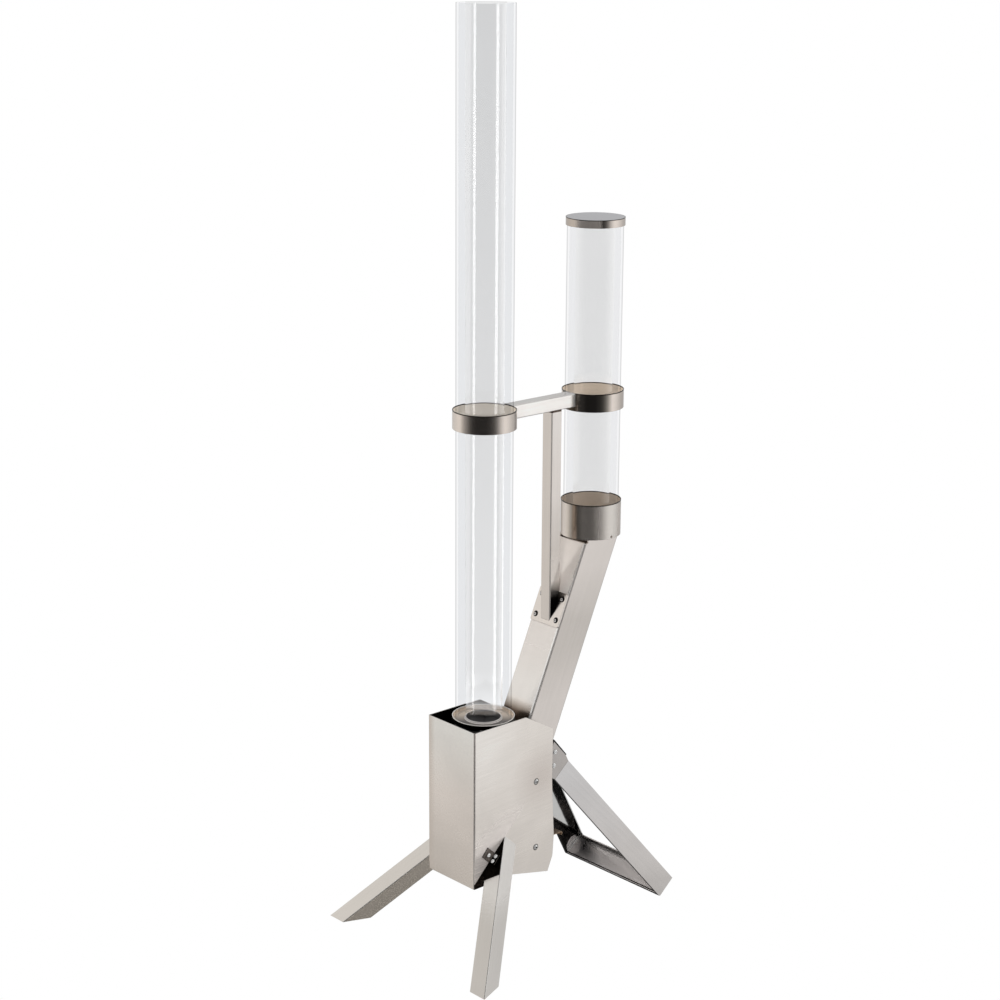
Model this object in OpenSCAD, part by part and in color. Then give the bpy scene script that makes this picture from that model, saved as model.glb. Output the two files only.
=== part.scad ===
// Free-standing gravity-fed pellet torch: a tall glass flame tube over a shrouded
// burner, and a capped glass pellet hopper that feeds it through a sloping square chute.
// Millimetres, +Z up, front towards -Y, standing on z = 0.

/* [Glass tubes] */
// Outer diameter of both glass tubes
glass_od = 101.6; // [95:0.1:106]
// Wall of both glass tubes
glass_wall = 5; // [3:0.5:7]
// Length of the flame tube
flame_tube_len = 1261; // [900:1:1400]
// Length of the hopper tube
hopper_tube_len = 579; // [400:1:700]
// Distance from the flame axis back to the hopper axis
hopper_offset = 262; // [250:1:280]

/* [Tube seat and burner] */
// Height of the seat floor that the flame tube stands on
seat_z = 410; // [400:1:420]
// Clearance between the flame tube and the lip of the seat
seat_play = 4.3; // [2:0.1:6.5]
// Height of the seat lip above its floor
seat_lip = 5.6; // [4:0.1:10]
// Bore of the burner throat
throat_d = 62; // [50:0.5:64]
// Height of the throat rim above the seat floor
throat_rim = 3; // [1:0.5:6]
// Outside width of the square burner riser and of the chute
square_w = 76.2; // [70:0.1:80]
// Wall of the riser and of the chute
square_wall = 3; // [2:0.5:4]
// Thickness of the seat floor, head plate and hopper floor
plate_t = 3; // [2:0.5:4]

/* [Chute] */
// Lean of the chute from the vertical, in degrees
chute_tilt = 23.45; // [21:0.05:25]
// Height above the underside of the collar at which the chute axis meets the hopper axis
chute_rise = 11; // [3:1:21]
// How far the front wall of the chute stops below the collar
chute_front_gap = 5; // [1:0.5:8]

/* [Hopper collar and cap] */
// Height of the underside of the collar
collar_z = 709; // [690:1:720]
// Height of the collar
collar_h = 65; // [40:1:90]
// Clearance between the hopper tube and the collar
collar_play = 3.2; // [1:0.1:6]
// Clearance between the hopper tube and the skirt of the cap
cap_play = 0.95; // [0.5:0.05:3]
// Height of the cap with its skirt
cap_h = 14.3; // [8:0.1:30]

/* [Upper bracket] */
// Height of the underside of the two steadying rings
ring_z = 948; // [850:1:1050]
// Height of the rings
ring_h = 33; // [26:1:50]
// Clearance between a glass tube and its steadying ring
ring_play = 4.2; // [2:0.1:7]
// Side of the square cross bar and post
bar_w = 25; // [18:0.5:26]
// Wall of the square cross bar and post
bar_wall = 2; // [1.5:0.5:3]
// Distance from the flame axis back to the post axis
post_y = 162; // [140:1:176]
// Width of the foot plate of the post
foot_w = 73; // [60:1:74]
// Length of the foot plate along the chute
foot_len = 64; // [50:1:90]
// Screw spacing across the foot plate
foot_pitch_x = 53.6; // [44:0.1:60]
// Screw spacing along the foot plate
foot_pitch_z = 40; // [30:0.5:44]

/* [Shroud] */
// Air gap between the riser and a side panel of the shroud
air_gap = 23.6; // [22:0.1:28]
// Distance from the flame axis to the front face of the shroud
shroud_front = 76.5; // [66:0.5:90]
// Height of the top rim of the shroud above the seat floor
shroud_rise = 6.2; // [2:0.1:15]
// Height of the lower front edge of the shroud
shroud_bottom = 116.5; // [114:0.5:122]
// Sheet thickness of the shroud, baffle, collar, rings and cap
sheet = 1.5; // [1:0.1:2]
// How far the level top rim runs back past the riser
rim_gap = 8.8; // [6:0.1:20]
// Distance from the flame axis back to the rear edge of the side panels
side_back = 114; // [110:1:125]
// Outside radius of the folds of the shroud and baffle
shroud_fold = 2.2; // [1.5:0.1:4]
// Height of the upper shroud screws
shroud_screw_top = 285.3; // [240:0.1:300]
// Height of the lower shroud screws
shroud_screw_low = 156; // [140:1:160]

/* [Ash box] */
// Height of the underside of the ash box
ash_z = 112; // [108:1:114]
// Height of the ash box
ash_h = 60; // [54:1:66]
// Distance from the flame axis back to the open end of the ash box
ash_back = 134; // [120:1:140]
// How far the pan handle stands out behind the pan
handle_reach = 37; // [20:1:45]
// Width of the pan handle
handle_w = 60; // [40:1:64]

/* [Front legs] */
// Distance from the centre plane to the outer toe of a front leg
toe_x = 218; // [200:1:240]
// Distance from the flame axis forward to the toes
toe_y = 188.3; // [180:0.1:200]
// Width of the leg channel
leg_web = 34; // [28:1:38]
// Depth of the leg channel
leg_flange = 37; // [28:1:40]
// Sheet thickness of the legs and of the rear stand
leg_sheet = 2; // [1.5:0.5:3]
// Outside radius of the folds of a leg
leg_fold = 1.5; // [0.8:0.1:4]
// Lean of the leg face from the vertical, in degrees
leg_pitch = 42.8; // [40:0.1:45]
// Sideways splay of the leg in its own face, in degrees
leg_splay = 29.55; // [28:0.05:31]

/* [Rear stand] */
// Distance from the centre plane to a rear foot corner
heel_x = 131; // [110:1:150]
// Distance from the flame axis back to the rear foot edge
heel_y = 336; // [320:1:350]
// Width of the stand strip
strip_w = 44; // [36:1:50]
// Depth of the inward flange along the back of the strip
strip_flange = 19; // [12:1:24]
// Depth of the lip along the front of the strip
strip_lip = 6; // [4:0.5:10]
// Slope of the strip's width above the level, in degrees
strip_tilt = 40; // [36:0.5:44]
// Distance from the back of the chute to the upper bend corner of an arm
knee_gap = 57.2; // [52:0.1:62]
// Height of the upper bend corner of an arm
knee_z = 292.6; // [285:0.1:300]

/* [Hidden] */
$fn = 96;
cut = 1;          // how far a cutting body runs past the face it cuts
big = 1200;       // size of a half-space cutting body
seat_gap = 0.3;   // clearance under a piece that lifts off its seat
slide_gap = 0.6;  // clearance beside a piece that slides
min_fold = 0.3;   // smallest inside radius of a fold
weld_gap = 0.1;   // clearance where a flat end is coped round a curved wall
hole_gap = 0.2;   // radial clearance of a screw in its hole
hole_reach = 40;  // how far the cutting body of a screw hole runs to each side

glass_r = glass_od / 2;
bore_r = glass_r - glass_wall;
seat_od = glass_od + 2 * (seat_play + sheet);
collar_od = glass_od + 2 * (collar_play + sheet);
cap_od = glass_od + 2 * (cap_play + sheet);
ring_od = glass_od + 2 * (ring_play + sheet);
rear_reach = heel_y + strip_w * cos(strip_tilt);
flame_y = (toe_y - rear_reach) / 2;  // centres the footprint on the origin
shroud_top = seat_z + shroud_rise;
chute_half = square_w / 2;
inner_w = chute_half + air_gap;
half_w = inner_w + sheet;
shroud_w = 2 * half_w;
rim_back = chute_half + rim_gap;
chute_in = chute_half - square_wall;
flame_base = seat_z + seat_gap;
hopper_floor_top = collar_z + plate_t;
hopper_base = hopper_floor_top + seat_gap;
cap_top = hopper_base + hopper_tube_len + seat_gap + sheet;
head_top = seat_z - plate_t;
riser_top = head_top - plate_t;
ash_top = ash_z + ash_h;
bar_z = ring_z + ring_h - bar_w;
chute_meet_z = collar_z + chute_rise;

m4 = 4;
m5 = 5;
m4_head = 7.6;
m5_head = 9.5;

function chute_y(z) = hopper_offset - tan(chute_tilt) * (chute_meet_z - z);
function chute_front(z) = chute_y(z) - chute_half / cos(chute_tilt);
function chute_back(z) = chute_y(z) + chute_half / cos(chute_tilt);
function front_height(y) = chute_meet_z - (hopper_offset - chute_half / cos(chute_tilt) - y) / tan(chute_tilt);

knee_y = chute_back(knee_z) + knee_gap;

module on_flame() translate([0, flame_y, 0]) children();
module on_hopper() translate([0, flame_y + hopper_offset, 0]) children();
module both_sides() { children(); mirror([1, 0, 0]) children(); }

// ---- shared shapes ----

// Rectangle centred on x = 0 that starts at y = 0, with rounded corners
module round_rect(w, d, r) {
    translate([-w / 2 + r, 0]) square([w - 2 * r, d]);
    translate([-w / 2, r]) square([w, d - 2 * r]);
    for (x = [-w / 2 + r, w / 2 - r], y = [r, d - r]) translate([x, y]) circle(r, $fn = 48);
}

// Slot centred on x = 0 that starts at y = 0, with round ends
module slot_plan(w, d) {
    translate([-w / 2, w / 2]) square([w, d - w]);
    for (y = [w / 2, d - w / 2]) translate([0, y]) circle(d = w, $fn = 48);
}

// Folded sheet channel in plan: web along X at y = 0, open towards +Y, r the outside fold radius
module channel_plan(w, d, t, r) {
    intersection() {
        difference() {
            round_rect(w, 2 * d, r);
            translate([0, t]) round_rect(w - 2 * t, 2 * d, max(r - t, min_fold));
        }
        translate([-w / 2 - cut, -cut]) square([w + 2 * cut, d + cut]);
    }
}

module ring(r, wall, h) {
    difference() {
        cylinder(r = r, h = h);
        translate([0, 0, -cut]) cylinder(r = r - wall, h = h + 2 * cut);
    }
}

// Square tube along Z with softly rounded edges
module square_tube(w, wall, h) {
    translate([0, -w / 2, 0]) difference() {
        linear_extrude(h) round_rect(w, w, wall);
        translate([0, wall, -cut]) linear_extrude(h + 2 * cut)
            round_rect(w - 2 * wall, w - 2 * wall, wall / 3);
    }
}

// Square tube along Z with small flats along its edges
module plain_tube(w, wall, h) {
    difference() {
        linear_extrude(h) intersection() {
            square(w, center = true);
            rotate(45) square(sqrt(2) * (w - 0.8 * wall), center = true);
        }
        translate([wall - w / 2, wall - w / 2, -cut]) cube([w - 2 * wall, w - 2 * wall, h + 2 * cut]);
    }
}

// Button-head socket screw: head above z = 0, shank below
module button_screw(d, head_d, len) {
    head_h = 0.55 * d;
    edge_h = 0.1 * d;
    dome_r = (pow(head_d / 2, 2) + pow(head_h - edge_h, 2)) / (2 * (head_h - edge_h));
    difference() {
        union() {
            intersection() {
                translate([0, 0, head_h - dome_r]) sphere(dome_r);
                cylinder(d = head_d, h = head_h);
            }
            translate([0, 0, -len]) cylinder(d = d, h = len);
        }
        translate([0, 0, head_h / 2]) cylinder(d = 0.66 * d, h = head_h, $fn = 6);
    }
}

module screw_hole(d) {
    translate([0, 0, -hole_reach]) cylinder(r = d / 2 + hole_gap, h = 2 * hole_reach, $fn = 48);
}

// ---- glass ----

module glass_tube(len) ring(glass_r, glass_wall, len);

module flame_tube() color([0.85, 0.93, 0.96, 0.35]) on_flame()
    translate([0, 0, flame_base]) glass_tube(flame_tube_len);

module hopper_tube() color([0.85, 0.93, 0.96, 0.35]) on_hopper()
    translate([0, 0, hopper_base]) glass_tube(hopper_tube_len);

module hopper_cap() color("silver") on_hopper() {
    translate([0, 0, cap_top - sheet]) cylinder(d = cap_od, h = sheet);
    translate([0, 0, cap_top - cap_h]) ring(cap_od / 2, sheet, cap_h - sheet);
}

// ---- burner ----

module tube_seat() color([0.45, 0.43, 0.4]) on_flame() translate([0, 0, seat_z]) rotate_extrude() {
    translate([throat_d / 2, -plate_t]) square([(seat_od - throat_d) / 2, plate_t]);
    translate([seat_od / 2 - sheet, 0]) square([sheet, seat_lip]);
    translate([throat_d / 2, 0]) square([2 * sheet / 1.5, throat_rim]);
}

module burner_head() color([0.25, 0.24, 0.23]) on_flame() translate([0, 0, riser_top]) difference() {
    translate([0, -chute_half - plate_t, 0]) linear_extrude(plate_t)
        round_rect(square_w + 2 * plate_t, square_w + 2 * plate_t, plate_t);
    translate([0, 0, -cut]) cylinder(d = throat_d, h = plate_t + 2 * cut);
}

module burner_riser() color([0.2, 0.19, 0.18]) on_flame() difference() {
    translate([0, 0, ash_top]) plain_tube(square_w, square_wall, riser_top - ash_top);
    // window in the back wall, as tall as the chute's inside
    translate([1 - chute_in, 0, ash_top - cut])
        cube([2 * chute_in - 2, square_w, front_height(chute_half) - 8 - ash_top + cut]);
}

// ---- chute ----

module on_chute() translate([0, hopper_offset, chute_meet_z]) rotate([-chute_tilt, 0, 0]) children();

module on_post_foot() translate([0, post_y, front_height(post_y)]) rotate([-chute_tilt, 0, 0]) children();

module foot_screw_places() on_post_foot()
    for (x = [-foot_pitch_x / 2, foot_pitch_x / 2], z = [-foot_pitch_z / 2, foot_pitch_z / 2])
        translate([x, -plate_t, z]) rotate([90, 0, 0]) children();

module feed_chute() color("silver") on_flame() difference() {
    intersection() {
        on_chute() translate([0, 0, -big]) square_tube(square_w, square_wall, 2 * big);
        translate([-square_w, chute_half, ash_top]) cube([2 * square_w, big, collar_z - ash_top]);
    }
    // the front wall stops short of the collar
    translate([-square_w, chute_front(collar_z) - big, collar_z - chute_front_gap])
        cube([2 * square_w, big + square_wall / cos(chute_tilt) + cut, big]);
    foot_screw_places() screw_hole(m5);
}

// ---- hopper collar ----

module hopper_floor() color("silver") on_hopper() translate([0, 0, collar_z]) difference() {
    cylinder(r = collar_od / 2 - sheet - weld_gap, h = plate_t);
    intersection() {
        translate([0, 0, -cut]) cylinder(r = bore_r - 1, h = plate_t + 2 * cut);
        translate([-chute_in, -big / 2, -cut]) cube([2 * chute_in, big, plate_t + 2 * cut]);
    }
    weep_hole();
}

// Rain drain through the collar's wall, just above the floor's underside
module weep_hole() translate([collar_od / 2 - 6, 0, plate_t]) rotate([0, 90, 0])
    cylinder(r = 2.4, h = collar_od, $fn = 32);

module hopper_collar() color("silver") on_hopper() translate([0, 0, collar_z]) difference() {
    ring(collar_od / 2, sheet, collar_h);
    weep_hole();
}

// ---- upper bracket ----

module steady_ring() translate([0, 0, ring_z]) ring(ring_od / 2, sheet, ring_h);

module flame_ring() color("silver") on_flame() steady_ring();

module hopper_ring() color("silver") on_hopper() steady_ring();

module cross_bar() color("silver") on_flame() difference() {
    translate([0, ring_od / 4, bar_z + bar_w / 2]) rotate([-90, 0, 0])
        plain_tube(bar_w, bar_wall, hopper_offset - ring_od / 2);
    translate([0, 0, ring_z - cut]) cylinder(r = ring_od / 2 + weld_gap, h = ring_h + 2 * cut);
    translate([0, hopper_offset, ring_z - cut]) cylinder(r = ring_od / 2 + weld_gap, h = ring_h + 2 * cut);
}

module support_post() color("silver") on_flame() difference() {
    translate([0, post_y, collar_z - 300]) plain_tube(bar_w, bar_wall, bar_z - collar_z + 300);
    on_post_foot() translate([-big / 2, -plate_t, -big / 2]) cube(big);
}

module post_foot() color("silver") on_flame() difference() {
    on_post_foot() rotate([90, 0, 0]) translate([0, -foot_len / 2, 0])
        linear_extrude(plate_t) round_rect(foot_w, foot_len, plate_t);
    foot_screw_places() screw_hole(m5);
}

module post_foot_screws() color("white") on_flame()
    foot_screw_places() button_screw(m5, m5_head, 3 * plate_t);

// ---- shroud ----

rear_edge_rise = 105;  // height above the ash box at which the rear edge starts to lean forward

// Outline of a side panel, as [distance behind the flame axis, height]
side_outline = [
    [-shroud_front - cut, shroud_bottom],
    [-shroud_front - cut, shroud_top],
    [rim_back, shroud_top],
    [side_back, shroud_top - 0.57 * (side_back - rim_back)],
    [side_back - 1, ash_top + rear_edge_rise],
    [side_back + 5, ash_top - 5],
    [side_back + 2, ash_z + 15],
    [side_back - 10, ash_z - 13],
    [18, shroud_bottom + 2]
];

module shroud_screw_places() for (z = [shroud_screw_top, shroud_screw_low])
    translate([half_w, chute_y(shroud_screw_top), z]) rotate([0, 90, 0]) children();

module shroud() color("silver") on_flame() difference() {
    intersection() {
        translate([0, -shroud_front, 0]) linear_extrude(shroud_top + cut)
            channel_plan(shroud_w, 2 * side_back, sheet, shroud_fold);
        rotate([90, 0, 90]) translate([0, 0, -shroud_w]) linear_extrude(2 * shroud_w) polygon(side_outline);
    }
    both_sides() shroud_screw_places() screw_hole(m5);
    both_sides() on_leg_knee() clip_panel_screw_place() screw_hole(m4);
}

baffle_z = front_height(rim_back) + 4;

module rear_baffle() color([0.5, 0.48, 0.46]) on_flame()
    translate([0, rim_back - sheet, baffle_z]) linear_extrude(riser_top - baffle_z)
        channel_plan(2 * inner_w, 14, sheet, shroud_fold);

module shroud_spacers() color("gray") on_flame() both_sides() shroud_screw_places() translate([0, 0, -sheet])
    mirror([0, 0, 1]) difference() {
        cylinder(d = 12, h = inner_w - chute_half);
        translate([0, 0, -cut]) cylinder(r = m5 / 2 + hole_gap, h = big / 10);
    }

module shroud_screws() color("white") on_flame()
    both_sides() shroud_screw_places() button_screw(m5, m5_head, 14);

// ---- ash box, grate and pan ----

grate_z = ash_top - 14;
ledge = 3;
pan_half = chute_half - square_wall - slide_gap;
pan_top = grate_z - ledge - slide_gap;

module ash_box() color([0.3, 0.29, 0.28]) on_flame() {
    difference() {
        translate([-chute_half, -chute_half, ash_z]) cube([square_w, chute_half + ash_back, ash_h]);
        translate([-chute_in, -chute_in, ash_z + square_wall])
            cube([2 * chute_in, big, ash_h - 2 * square_wall]);
        translate([-chute_in, -chute_in, ash_z + square_wall])
            cube([2 * chute_in, chute_in + chute_back(ash_top) - square_wall, ash_h]);
        for (x = [-18, 0, 18]) translate([x, 0, ash_z + ash_h / 2]) rotate([90, 0, 0])
            cylinder(d = 11, h = big);
    }
    for (side = [-1, 1]) translate([side * (chute_in - ledge / 2) - ledge / 2, -chute_in, grate_z - ledge])
        cube([ledge, chute_in + chute_back(ash_top) - square_wall, ledge]);
}

grate_len = chute_in + chute_back(ash_top) - square_wall - 2 * slide_gap;

module fire_grate() color([0.15, 0.15, 0.15]) on_flame()
    translate([0, slide_gap - chute_in, grate_z]) difference() {
        translate([-chute_in + slide_gap, 0, 0]) cube([2 * (chute_in - slide_gap), grate_len, plate_t]);
        for (x = [-24:12:24], y = [8:(grate_len - 12) / 2:grate_len - 12])
            translate([x, y, -cut]) linear_extrude(plate_t + 2 * cut) slot_plan(6, (grate_len - 28) / 2);
    }

module ash_pan() color([0.35, 0.33, 0.31]) on_flame() {
    difference() {
        translate([-pan_half, -chute_in + slide_gap, ash_z + square_wall + seat_gap])
            cube([2 * pan_half, chute_in - slide_gap + ash_back, pan_top - ash_z - square_wall - seat_gap]);
        translate([-pan_half + sheet, -chute_in + slide_gap + sheet, ash_z + square_wall + seat_gap + sheet])
            cube([2 * (pan_half - sheet), chute_in - slide_gap + ash_back - 2 * sheet, big]);
    }
    translate([-chute_half, ash_back + seat_gap, ash_z]) cube([square_w, sheet, pan_top - ash_z + ledge]);
    translate([-pan_half, ash_back - cut, ash_z + square_wall + seat_gap])
        cube([2 * pan_half, cut + seat_gap, pan_top - ash_z - square_wall - seat_gap]);
}

handle_z = pan_top - 8;
handle_roll = 3.5;

module pan_handle() color([0.45, 0.36, 0.28]) on_flame()
    translate([-handle_w / 2, ash_back + seat_gap + sheet, handle_z]) rotate([90, 0, 90])
        linear_extrude(handle_w) {
            square([handle_reach - handle_roll, sheet]);
            translate([0, -12]) square([sheet, 12 + sheet]);
            translate([handle_reach - handle_roll, sheet - handle_roll]) difference() {
                circle(handle_roll, $fn = 48);
                circle(handle_roll - sheet, $fn = 48);
                translate([-big, -big + handle_roll - sheet]) square([big, big]);
            }
        }

// ---- front legs ----

// Point where the outer front edge of a leg meets the side panel
knee_run = (toe_x - half_w) / sin(leg_splay);
leg_knee = [half_w, -toe_y + knee_run * cos(leg_splay) * sin(leg_pitch),
            knee_run * cos(leg_splay) * cos(leg_pitch)];

// Frame at the knee: -Z runs down the side panel along the leg face, -Y is the face normal
module on_leg_knee() translate(leg_knee) rotate([-leg_pitch, 0, 0]) children();

clip_top = 36;      // distance of the clip below the knee
clip_len = 20;
clip_leaf = 23.5;   // leaf on the side panel
clip_tongue = 14;   // leaf on the leg

module clip_panel_screw_place() translate([sheet, -clip_leaf / 2, -clip_top - clip_len / 2])
    rotate([0, 90, 0]) children();

module clip_leg_screw_places() for (z = [-clip_len / 4, clip_len / 4])
    translate([clip_tongue / 2, -sheet, -clip_top - clip_len / 2 + z]) rotate([90, 0, 0]) children();

module front_leg() on_flame() difference() {
    intersection() {
        translate([toe_x, -toe_y, 0]) rotate([-leg_pitch, 0, 0]) rotate([0, -leg_splay, 0])
            translate([-leg_web / 2, 0, -leg_flange * 2]) linear_extrude(knee_run + leg_flange * 4)
                channel_plan(leg_web, leg_flange, leg_sheet, leg_fold);
        translate([half_w, -big / 2, 0]) cube(big);
    }
    on_leg_knee() clip_leg_screw_places() screw_hole(m4);
}

module front_leg_right() color("silver") front_leg();

module front_leg_left() color("silver") mirror([1, 0, 0]) front_leg();

module leg_clip() on_flame() on_leg_knee() difference() {
    translate([0, 0, -clip_top - clip_len]) linear_extrude(clip_len) {
        translate([0, -clip_leaf]) square([sheet, clip_leaf]);
        translate([0, -sheet]) square([clip_tongue, sheet]);
    }
    clip_panel_screw_place() screw_hole(m4);
    clip_leg_screw_places() screw_hole(m4);
}

module leg_clip_right() color("dimgray") leg_clip();

module leg_clip_left() color("dimgray") mirror([1, 0, 0]) leg_clip();

module leg_clip_screws() color("white") on_flame() both_sides() on_leg_knee() {
    clip_panel_screw_place() button_screw(m4, m4_head, 8);
    clip_leg_screw_places() button_screw(m4, m4_head, 8);
}

// ---- rear stand ----

sole_cut = 1;   // the stand's corner edge is ground flat by this much
tab_x = chute_half + leg_sheet;

// Direction of an arm from its foot corner up to the knee, in the strip's own tilted frame
function tilt_y(y, z) = y * cos(strip_tilt) + z * sin(strip_tilt);
function tilt_z(y, z) = z * cos(strip_tilt) - y * sin(strip_tilt);
arm_run = [tab_x - heel_x, tilt_y(knee_y - rear_reach, knee_z - strip_w * sin(strip_tilt) + sole_cut),
           tilt_z(knee_y - rear_reach, knee_z - strip_w * sin(strip_tilt) + sole_cut)];
arm_splay = atan(-arm_run[0] / arm_run[2]);
arm_len = norm([arm_run[0], arm_run[2]]);

module on_heel() translate([0, heel_y, -sole_cut]) rotate([strip_tilt, 0, 0]) children();
module on_arm() on_heel() translate([heel_x, 0, 0]) rotate([0, -arm_splay, 0]) children();

// Strip of the arm's outline between two widths y0 and y1, reaching inward by depth
module arm_band(y0, y1, depth) on_arm() translate([-depth, 0, 0]) rotate([90, 0, 90]) linear_extrude(depth)
    polygon([[y0, -0], [y1, -0], [y1 + arm_run[1], arm_len], [y0 + arm_run[1], arm_len]]);

module below_strip(level) on_heel() translate([-big / 2, -big / 2, level - big]) cube(big);
module beside_arm(depth) on_arm() translate([-depth, -big / 2, -big / 2]) cube(big);
module under_floor() translate([-big / 2, -big / 2, -big]) cube(big);
module past_tab() translate([tab_x - big, -big / 2, knee_z - big / 2]) cube(big);

// Part of the tab screwed to the saddle, as [distance behind the flame axis, height]
knee_low = [knee_y - strip_w * cos(strip_tilt), knee_z - strip_w * sin(strip_tilt)];
saddle_top = [chute_back(knee_z + 48.5), knee_z + 48.5];
saddle_tip = [knee_y - 6, knee_z + 12];
saddle_low = [chute_back(knee_z - 22), knee_z - 22];

module side_plate(x0, x1, outline) translate([x0, 0, 0]) rotate([90, 0, 90])
    linear_extrude(x1 - x0) polygon(outline);

// Places of the stand screws, as [distance in front of the knee, height above it]
module stand_screw_places() for (p = [[33.8, 25.2], [36.9, -0.7]])
    translate([tab_x, knee_y - p[0], knee_z + p[1]]) rotate([0, 90, 0]) children();

module rear_arm() on_flame() difference() {
    union() {
        difference() {
            arm_band(0, strip_w, leg_sheet);
            below_strip(0);
        }
        difference() {
            union() {
                arm_band(strip_w - leg_sheet, strip_w, strip_flange);
                arm_band(0, leg_sheet, strip_lip);
            }
            below_strip(leg_sheet);
        }
        side_plate(chute_half, tab_x, [[knee_y, knee_z], saddle_tip, saddle_top + [0, -2.5],
            saddle_low + [0, 10], knee_low]);
    }
    under_floor();
    stand_screw_places() screw_hole(m5);
}

module rear_arm_right() color("silver") rear_arm();

module rear_arm_left() color("silver") mirror([1, 0, 0]) rear_arm();

tab_rise = 9;
tab_half = strip_w / 2 - 3;
tab_r = (pow(tab_half, 2) + pow(tab_rise, 2)) / (2 * tab_rise);

// Round-topped tab folded up from the end of the foot bar against an arm
module end_tab() difference() {
    on_arm() translate([-2 * leg_sheet, strip_w / 2, leg_sheet + tab_rise - tab_r]) rotate([0, 90, 0])
        cylinder(r = tab_r, h = leg_sheet);
    below_strip(0);
}

module rear_foot_bar() color("silver") on_flame() difference() {
    union() {
        difference() {
            on_heel() translate([-heel_x - cut, 0, 0]) cube([2 * heel_x + 2 * cut, strip_w, leg_sheet]);
            both_sides() beside_arm(leg_sheet);
        }
        difference() {
            on_heel() translate([-heel_x, strip_w - leg_sheet, 0]) cube([2 * heel_x, leg_sheet, strip_flange]);
            both_sides() beside_arm(strip_flange + seat_gap);
        }
        difference() {
            on_heel() translate([-heel_x, 0, 0]) cube([2 * heel_x, leg_sheet, strip_lip]);
            both_sides() beside_arm(strip_lip + seat_gap);
        }
        both_sides() end_tab();
    }
    under_floor();
}

module stand_saddle() color([0.1, 0.1, 0.1]) on_flame() difference() {
    union() {
        both_sides() side_plate(chute_half - leg_sheet, chute_half, [saddle_top, saddle_tip, [knee_y - 3, knee_z],
            knee_low + [2, 2], saddle_low]);
        side_plate(-chute_half - leg_sheet, chute_half + leg_sheet,
            [saddle_top, saddle_tip, saddle_tip + [1.6, 1.3], saddle_top + [0.6, 1.3]]);
    }
    both_sides() stand_screw_places() screw_hole(m5);
}

module stand_screws() color("white") on_flame()
    both_sides() stand_screw_places() button_screw(m5, m5_head, 10);

shroud();
rear_baffle();
shroud_spacers();
shroud_screws();
ash_box();
fire_grate();
ash_pan();
pan_handle();
burner_riser();
burner_head();
tube_seat();
feed_chute();
hopper_floor();
hopper_collar();
flame_tube();
hopper_tube();
hopper_cap();
flame_ring();
hopper_ring();
cross_bar();
support_post();
post_foot();
post_foot_screws();
front_leg_left();
front_leg_right();
leg_clip_left();
leg_clip_right();
leg_clip_screws();
stand_saddle();
rear_arm_left();
rear_arm_right();
rear_foot_bar();
stand_screws();
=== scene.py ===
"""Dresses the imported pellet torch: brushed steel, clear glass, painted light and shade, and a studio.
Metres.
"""
import math

import bpy
from mathutils import Matrix, Vector

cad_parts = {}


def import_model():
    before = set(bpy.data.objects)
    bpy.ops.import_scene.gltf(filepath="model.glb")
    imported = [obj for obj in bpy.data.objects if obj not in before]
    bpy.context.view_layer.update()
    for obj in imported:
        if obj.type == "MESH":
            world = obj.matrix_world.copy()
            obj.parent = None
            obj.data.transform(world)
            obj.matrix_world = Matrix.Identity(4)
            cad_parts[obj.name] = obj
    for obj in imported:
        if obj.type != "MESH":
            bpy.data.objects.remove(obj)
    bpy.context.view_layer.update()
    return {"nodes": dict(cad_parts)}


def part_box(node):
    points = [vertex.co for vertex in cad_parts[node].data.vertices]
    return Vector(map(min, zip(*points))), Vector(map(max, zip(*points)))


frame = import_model()
nodes = frame["nodes"]
scene = bpy.context.scene
X, Y, Z = range(3)


# ---------------------------------------------------------------- measures taken from the frame
def lowest(node_name):
    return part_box(node_name)[0]


def highest(node_name):
    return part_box(node_name)[1]


def middle(node_name, axis):
    return (lowest(node_name)[axis] + highest(node_name)[axis]) / 2


FLAME_Y = middle("tube_seat", Y)
HOPPER_Y = middle("hopper_cap", Y)
POST_Y = middle("support_post", Y)
POST_HALF = highest("support_post").x
POST_TOP = highest("support_post").z
TUBE_R = highest("flame_tube").x
RING_R = highest("flame_ring").x
RING_TOP = highest("flame_ring").z
COLLAR_R = highest("hopper_collar").x
COLLAR_TOP = highest("hopper_collar").z
CAP_R = highest("hopper_cap").x
CAP_TOP = highest("hopper_cap").z
SEAT_R = highest("tube_seat").x
SEAT_TOP = highest("tube_seat").z
SHROUD_HALF = highest("shroud").x
SHROUD_FRONT = lowest("shroud").y
CHUTE_HALF = highest("feed_chute").x
CHUTE_LEAN = 23.45  # degrees from upright
CHUTE_TILT = math.radians(CHUTE_LEAN)
CHUTE_MEET = lowest("hopper_collar").z + 0.011  # where its centre line meets the hopper axis

# ---------------------------------------------------------------- camera
CAM_PLACE = Vector((2.79756, FLAME_Y - 2.47852, 1.84431))
CAM_YAW = math.radians(48.036)
CAM_PITCH = math.radians(-15.3616)
CAM_ROLL = math.radians(0.3346)
FOCAL = 2205.62  # pixels of the photo
PHOTO_WIDTH = 1000  # pixels
SENSOR = 36  # millimetres


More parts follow.
